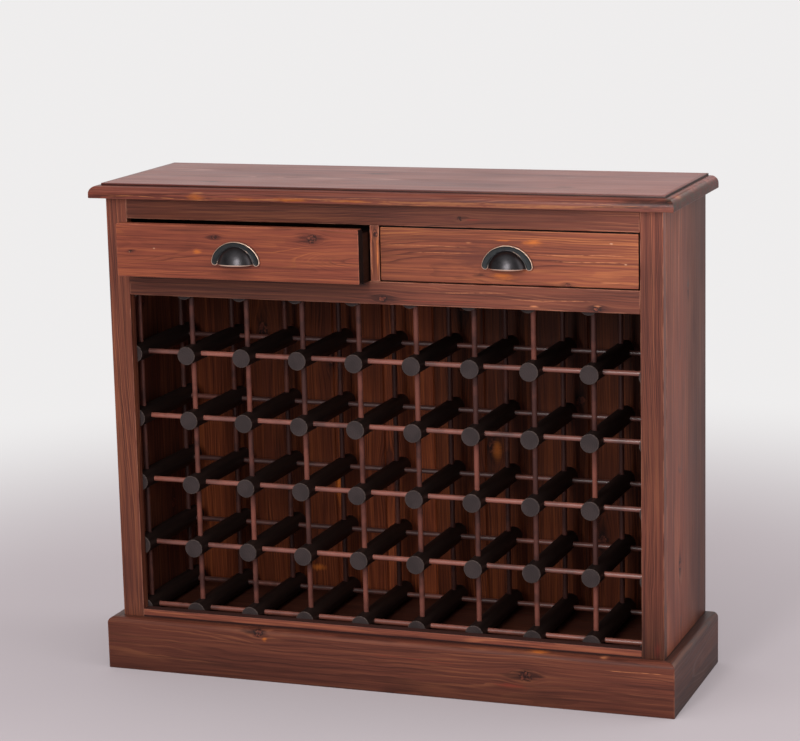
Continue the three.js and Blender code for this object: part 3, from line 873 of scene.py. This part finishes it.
# Depth of tone of the uprights and of the level rods, in the front plane and the rear one. It is
# painted shade: uprights darker than level rods, and rear rods darker than front ones, for the light
# each catches
ROD_PLANES = (("front", 0.66, 0.32), ("rear", 1.0, 0.82))
# Weight of the clear coat and level of the gloss under it
UPRIGHT_GLOSS = (0.0, 0.2)
LEVEL_GLOSS = (0.8, 0.5)


def make_rack():
    chance = random.Random(5)
    row_places = [middle_of(f"front_rod_row_{row}", Z) for row in range(1, ROWS + 1)]
    planes = [(plane, middle_of(f"{plane}_rod_row_1", Y), upright, level)
              for plane, upright, level in ROD_PLANES]
    columns = [f"rack_column_{column}" for column in range(1, COLUMNS + 1)]
    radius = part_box(columns[0])[1].z - row_places[0]
    bar_finish = bar_material(radius)
    upright_finish = rod_material("upright_stain", *UPRIGHT_GLOSS)
    level_finish = rod_material("rod_stain", *LEVEL_GLOSS)
    for column in columns:
        low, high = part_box(column)
        x = middle_of(column, X)
        profile = [(low.y, radius - BAR_CHAMFER), (low.y + BAR_CHAMFER, radius),
                   (high.y - BAR_CHAMFER, radius), (high.y, radius - BAR_CHAMFER)]
        bars = [turned((x, 0, z), Y, profile, BAR_SIDES) for z in row_places]
        sections = [(px - x, 0.0, pz - z)
                    for z, (points, _) in zip(row_places, bars) for px, _, pz in points]
        add_piece(f"{column}_bars", joined(bars), bar_finish, "case", column, "bar_wood",
                  section=sections)
        for plane, y, dark, _ in planes:
            uprights = []
            for upper, lower in zip(row_places, row_places[1:]):
                span = [(lower + radius / 2, ROD_RADIUS), (upper - radius / 2, ROD_RADIUS)]
                uprights.append(turned((x, y, 0), Z, span, ROD_SIDES))
            name = f"{column}_{plane}_uprights"
            add_rods(name, uprights, upright_finish, column, chance, dark)
    places = [middle_of(column, X) for column in columns]
    for plane, y, _, dark in planes:
        for row, z in enumerate(row_places, start=1):
            node = f"{plane}_rod_row_{row}"
            rods = []
            for left, right in zip(places, places[1:]):
                span = [(left + radius / 2, ROD_RADIUS), (right - radius / 2, ROD_RADIUS)]
                rods.append(turned((0, y, z), X, span, ROD_SIDES))
            add_rods(f"{node}_rods", rods, level_finish, node, chance, dark)


# Cup pulls
FLANGE_HALF_BAND = 6.75 * MM
FLANGE_HALF_WIDTH = 47 * MM
FLANGE_HEIGHT = 44 * MM
# Section of the flange from its outer edge to its middle: (offset, height, shine)
FLANGE_PROFILE = [(6.75, 0.0, 0.2), (6.75, 2.2, 0.6), (6.5, 3.1, 1.0), (5.95, 3.7, 1.0),
                  (5.3, 3.85, 0.55), (4.75, 3.65, 0.15), (4.4, 3.35, 0.0), (4.0, 3.15, 0.0),
                  (3.2, 3.05, 0.0), (0.0, 3.0, 0.0)]
# Shine of the flange's inner rim, and how much more of it there is towards the right, where it is a
# painted highlight
INNER_SHINE = 0.55
INNER_HIGHLIGHT_RIGHT = 0.6
# The arch and the cup fall away from the top as this power of a sine
ARCH_FALL = 1.15
ARCH_STEPS = 72
FOOT_STEPS = 18
DOME_ACROSS = 56
DOME_UP = 22
CUP_HALF_WIDTH = 34.5 * MM
CUP_REACH = 24 * MM
CUP_HEIGHT = 32.5 * MM
CUP_WALL = 2 * MM
CUP_RISE = 2.5 * MM
LIP_RADIUS = 1.0 * MM
LIP_RADIUS_AHEAD = 3.0 * MM
LIP_STEPS = 10
BEAD_RADIUS = 0.9 * MM
BEAD_DEPTH = 3.2 * MM
BEAD_SIDES = 8
# The bead's brass is a painted highlight, strongest at this turn from the right foot
BEAD_HIGHLIGHT = 0.5
BEAD_HIGHLIGHT_TURN = math.radians(55)
BRONZE = rgb(80, 77, 79)
BRONZE_CHANNEL = rgb(60, 62, 63)
BRONZE_DARK = rgb(38, 37, 39)
BRASS = rgb(248, 214, 190)


def brass_material():
    """Dark bronze over brass that shows where it is rubbed; shine is 1 on the rims. On the bead and
    the right of the inner rim, shine is a painted highlight.
    """
    graph = Graph(bpy.data.materials.new("aged_brass"))
    channel = graph.stored("channel")
    place = graph.place()
    cloud = graph.noise(place, (110, 110, 110), 4.0, 0.6)
    grit = graph.noise(place, (900, 900, 900), 2.0)
    dark = graph.mix(channel, BRONZE, BRONZE_CHANNEL)
    dark = graph.lay(dark, BRONZE_DARK, cloud, 0.45, 0.75, 0.45)
    ragged = graph.math("ADD", graph.stored("shine"), graph.span(cloud, -0.3, 0.25))
    # Brass shows where shine is high: rubbed rims, and painted highlight on the bead and the right of
    # the inner rim
    rubbed = graph.ease(ragged, 0.35, 0.8)
    color = graph.mix(rubbed, dark, BRASS)
    dull = graph.blend(channel, graph.span(grit, 0.32, 0.42), 0.5)
    roughness = graph.blend(rubbed, dull, 0.4)
    return graph.surface(color, roughness, grit, PULL_RELIEF, metallic=1.0)


def flange_shape(base):
    """A band that arches over the cup and ends in round feet, as points, faces and shine."""
    half = FLANGE_HALF_BAND
    arch_x = FLANGE_HALF_WIDTH - half
    arch_z = FLANGE_HEIGHT - 2 * half
    outer = [(offset * MM, height * MM, shine) for offset, height, shine in FLANGE_PROFILE]
    inner = [(-offset, height, shine) for offset, height, shine in reversed(outer[:-1])]
    count = len(outer) + len(inner)
    points, faces, values = [], [], []
    for step in range(ARCH_STEPS + 1):
        angle = math.pi * step / ARCH_STEPS
        rise = max(math.sin(angle), 0.001)
        centre_x, centre_z = arch_x * math.cos(angle), half + arch_z * rise ** ARCH_FALL
        slope = ARCH_FALL * rise ** (ARCH_FALL - 1)
        normal = Vector((arch_z * slope * math.cos(angle), 0, arch_x * rise)).normalized()
        # Brass on the inner rim: a painted highlight that grows towards the right, and rubbed rims at
        # the feet
        rubbed = INNER_SHINE * (1 + INNER_HIGHLIGHT_RIGHT * math.cos(angle))
        rubbed = max(rubbed, 1 - 2 * math.sin(angle))
        for side, factor in ((outer, 1.0), (inner, rubbed)):
            for offset, height, shine in side:
                points.append((centre_x + normal.x * offset, -height,
                               base + centre_z + normal.z * offset))
                values.append(shine * factor)
    for step in range(ARCH_STEPS):
        start = step * count
        for place in range(count - 1):
            a = start + place
            faces.append((a, a + 1, a + 1 + count, a + count))
        faces.append((start + count - 1, start, start + count, start + 2 * count - 1))
    for sign, row in ((1, 0), (-1, ARCH_STEPS)):
        add_foot(points, faces, values, base, sign * arch_x, sign, row * count, outer, count)
    return points, faces, values


def add_foot(points, faces, values, base, centre_x, sign, start, outer, count):
    """Turns the section round the end of the arch, from its outer edge to its inner one."""
    centre_z = base + FLANGE_HALF_BAND
    previous = [start + place for place in range(len(outer))]
    hub = previous[-1]
    last = [start + count - 1 - place for place in range(len(outer) - 1)] + [hub]
    under = len(points)
    points.append((centre_x, 0.0, centre_z))
    values.append(0.0)
    for step in range(1, FOOT_STEPS + 1):
        turn = -math.pi * step / FOOT_STEPS
        ring = last
        if step < FOOT_STEPS:
            ring = []
            for offset, height, shine in outer[:-1]:
                ring.append(len(points))
                points.append((centre_x + sign * offset * math.cos(turn), -height,
                               centre_z + offset * math.sin(turn)))
                values.append(shine)
            ring.append(hub)
        for place in range(len(outer) - 1):
            face = (previous[place], previous[place + 1], ring[place + 1], ring[place])
            face = tuple(dict.fromkeys(face))
            faces.append(face if sign > 0 else face[::-1])
        face = (previous[0], ring[0], under)
        faces.append(face if sign > 0 else face[::-1])
        previous = ring


def dome_shape(base):
    """A quarter of an ellipsoid as a thin cup, open below, with a rolled lip."""
    centre_z = base + CUP_RISE
    points, values, rows = [], [], []

    def add_row(place_of, shine):
        row = []
        for step in range(DOME_ACROSS + 1):
            row.append(len(points))
            points.append(place_of(math.pi * step / DOME_ACROSS))
            values.append(shine)
        rows.append(row)

    def skin(inset, rise):
        width, reach, height = (CUP_HALF_WIDTH - inset, CUP_REACH - inset, CUP_HEIGHT - inset)
        return lambda angle: (width * math.cos(angle), -reach * math.sin(angle) * math.cos(rise),
                              centre_z + height * abs(math.sin(angle) * math.sin(rise)) ** ARCH_FALL)

    def lip(turn):
        def place(angle):
            radius = LIP_RADIUS + (LIP_RADIUS_AHEAD - LIP_RADIUS) * math.sin(angle)
            inset = radius * (1 - math.cos(turn))
            return ((CUP_HALF_WIDTH - inset) * math.cos(angle), -(CUP_REACH - inset) * math.sin(angle),
                    centre_z + radius * (0.6 - math.sin(turn)))
        return place

    for step in range(DOME_UP, 0, -1):
        add_row(skin(0.0, math.pi / 2 * step / DOME_UP), 0.3 if step == 1 else 0.0)
    for step in range(LIP_STEPS + 1):
        add_row(lip(math.pi * step / LIP_STEPS), 1.0 if step < LIP_STEPS else 0.6)
    for step in range(1, DOME_UP + 1):
        add_row(skin(CUP_WALL, math.pi / 2 * step / DOME_UP), 0.0)
    faces = []
    for upper, lower in zip(rows, rows[1:]):
        for step in range(DOME_ACROSS):
            faces.append((upper[step], lower[step], lower[step + 1], upper[step + 1]))
    return points, faces, values


def bead_shape(base):
    """A thin bead where the cup meets the flange, with a painted highlight at the upper right."""
    rings, values = [], []
    for step in range(DOME_ACROSS + 1):
        angle = math.pi * step / DOME_ACROSS
        rise = abs(math.sin(angle)) ** ARCH_FALL
        centre = Vector((CUP_HALF_WIDTH * math.cos(angle), -BEAD_DEPTH, CUP_HEIGHT * rise))
        out = Vector((centre.x, 0, centre.z)).normalized()
        ring = []
        for side in range(BEAD_SIDES):
            turn = 2 * math.pi * side / BEAD_SIDES
            point = centre + (out * math.cos(turn) + Vector((0, math.sin(turn), 0))) * BEAD_RADIUS
            ring.append((point.x, point.y, point.z + base + CUP_RISE))
        rings.append(ring)
        values += [BEAD_HIGHLIGHT * max(0.0, math.cos(angle - BEAD_HIGHLIGHT_TURN)) ** 3] * BEAD_SIDES
    return (*loft(rings), values)


def make_pulls():
    finish = brass_material()
    for drawer in ("left_drawer", "right_drawer"):
        node = f"{drawer}_cup_pull"
        low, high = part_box(node)
        middle = (low.x + high.x) / 2
        shapes, shine, channel = [], [], []
        for is_channel, shape in ((1.0, flange_shape(low.z)), (0.0, dome_shape(low.z)),
                                  (0.0, bead_shape(low.z))):
            points, faces, values = shape
            shapes.append(([(x + middle, y + high.y, z) for x, y, z in points], faces))
            shine += values
            channel += [is_channel] * len(points)
        add_piece(f"{drawer}_pull", joined(shapes), finish, drawer, node, "aged_brass",
                  sharp=60, shine=shine, channel=channel)


# Screws: shank radius, and the head's profile as (depth below the crown, share of its radius)
SCREW_SIDES = 28
SHANK_RADIUS = 2 * MM
SHANK_TIP = 1.2 * MM
TIP_LENGTH = 1 * MM
HEAD_PROFILE = [(2.5, 0.96), (2.2, 1.0), (1.4, 0.96), (0.5, 0.75), (0.0, 0.4), (0.0, 0.3),
                (1.2, 0.2)]


def steel_material():
    graph = Graph(bpy.data.materials.new("zinc_steel"))
    cloud = graph.noise(graph.place(), (400, 400, 400), 3.0)
    color = graph.mix(cloud, rgb(170, 172, 176), rgb(205, 205, 200))
    return graph.surface(color, graph.span(cloud, 0.22, 0.4), metallic=1.0)


def make_screws():
    finish = steel_material()
    for drawer in ("left_drawer", "right_drawer"):
        for index in (1, 2):
            node = f"{drawer}_pull_screw_{index}"
            low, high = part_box(node)
            head = (high.x - low.x) / 2
            seat = high.y - HEAD_PROFILE[0][0] * MM
            profile = [(low.y, SHANK_TIP), (low.y + TIP_LENGTH, SHANK_RADIUS),
                       (seat, SHANK_RADIUS)]
            profile += [(high.y - depth * MM, head * share) for depth, share in HEAD_PROFILE]
            centre = (middle_of(node, X), 0, middle_of(node, Z))
            add_piece(f"{node}_turned", turned(centre, Y, profile, SCREW_SIDES), finish, drawer,
                      node, "screw_steel")


make_top()
make_plinth()
make_rack()
make_pulls()
make_screws()

# Studio: levels of the sky for diffuse light, by height, and for mirrors, by direction
SKY_SIDE = 0.1
SKY_OVERHEAD = 0.95
SKY_SHOWN = 0.86
MIRRORED_FRONT = 0.12
MIRRORED_BACK = 0.84
MIRRORED_OVERHEAD = 0.15
# A soft patch of sky round the direction of the key lamp, seen by diffuse light alone
GLOW = 0.35
GLOW_COSINE = (0.7, 0.96)
SKY_COLOR = (1.0, 0.985, 0.985, 1)
FLOOR_SIZE = 14.0
FLOOR_LIFT = 0.22
FADE_START = 0.9
FADE_END = 2.6
FLOOR_TONES = (rgb(170, 161, 165), rgb(178, 170, 173))
# Lamps: power, width, height, distance, azimuth from the front towards the right, elevation
LAMPS = {
    "key": (10, 2.8, 2.8, 3.2, -12, 48),
    "window": (54, 0.5, 1.8, 3.6, 0, 20),
    "fill": (56, 4.2, 4.2, 3.6, 96, 26),
}


def direction(azimuth, elevation):
    a, e = math.radians(azimuth), math.radians(elevation)
    return Vector((math.sin(a) * math.cos(e), -math.cos(a) * math.cos(e), math.sin(e)))


def add_lamp(name, power, width, height, distance, azimuth, elevation):
    data = bpy.data.lights.new(name, "AREA")
    data.shape = "RECTANGLE"
    data.energy = power
    data.size = width
    data.size_y = height
    lamp = placed(name, data)
    away = direction(azimuth, elevation)
    lamp.location = (cad_low + cad_high) / 2 + away * distance
    lamp.rotation_euler = away.to_track_quat("Z", "Y").to_euler()


def seen_share(graph):
    """1 for rays from the camera and 0 for the rest, and the same for mirrored rays."""
    camera = graph.add("LightPath", {}, "Is Camera Ray")
    glossy = graph.add("LightPath", {}, "Is Glossy Ray")
    through = graph.add("LightPath", {}, "Is Transmission Ray")
    return camera, graph.math("MAXIMUM", glossy, through)


def make_world():
    world = bpy.data.worlds.new("studio")
    scene.world = world
    graph = Graph(world)
    camera, mirrored = seen_share(graph)
    toward = graph.add("TexCoord", {}, "Generated")
    _, back, up = graph.separate(toward)
    diffuse = graph.blend(graph.ease(up, 0.1, 0.9), SKY_SIDE, SKY_OVERHEAD)
    key = tuple(direction(*LAMPS["key"][4:]))
    near_key = graph.add("VectorMath", {0: toward, 1: key}, "Value", operation="DOT_PRODUCT")
    glow = graph.product(graph.ease(near_key, *GLOW_COSINE), GLOW)
    diffuse = graph.math("ADD", diffuse, glow)
    reflected = graph.blend(graph.ease(back, -0.5, 0.5), MIRRORED_FRONT, MIRRORED_BACK)
    reflected = graph.blend(graph.ease(up, 0.3, 0.8), reflected, MIRRORED_OVERHEAD)
    level = graph.blend(mirrored, diffuse, reflected)
    level = graph.blend(camera, level, SKY_SHOWN)
    background = graph.add("Background", {"Color": SKY_COLOR, "Strength": level})
    output = graph.tree.nodes.new("ShaderNodeOutputWorld")
    graph.tree.links.new(background, output.inputs["Surface"])


def make_floor():
    """A pale floor that keeps the shadow near the cabinet and fades into the backdrop's level."""
    half = FLOOR_SIZE / 2
    points = [(-half, -half, 0), (half, -half, 0), (half, half, 0), (-half, half, 0)]
    mesh = bpy.data.meshes.new("floor")
    mesh.from_pydata(points, [], [(0, 1, 2, 3)])
    graph = Graph(bpy.data.materials.new("floor_paint"))
    camera, mirrored = seen_share(graph)
    place = graph.place()
    cloud = graph.noise(place, (1.2, 1.2, 1.2), 2.0)
    color = graph.mix(cloud, *FLOOR_TONES)
    diffuse = graph.add("BsdfDiffuse", {"Color": color})
    glow = graph.add("Emission", {"Color": color, "Strength": FLOOR_LIFT})
    lifted = graph.add("AddShader", {0: diffuse, 1: glow})
    backdrop = graph.add("Emission", {"Color": SKY_COLOR, "Strength": SKY_SHOWN})
    far = graph.ease(graph.vector("LENGTH", place), FADE_START, FADE_END)
    shown = graph.add("MixShader", {0: far, 1: lifted, 2: backdrop})
    seen = graph.math("MAXIMUM", camera, graph.product(mirrored, 0.5))
    graph.add_output(graph.add("MixShader", {0: seen, 1: diffuse, 2: shown}))
    mesh.materials.append(graph.owner)
    floor = placed("floor", mesh)


make_world()
make_floor()
for name, settings in LAMPS.items():
    add_lamp(name, *settings)
scene.view_settings.view_transform = "Standard"
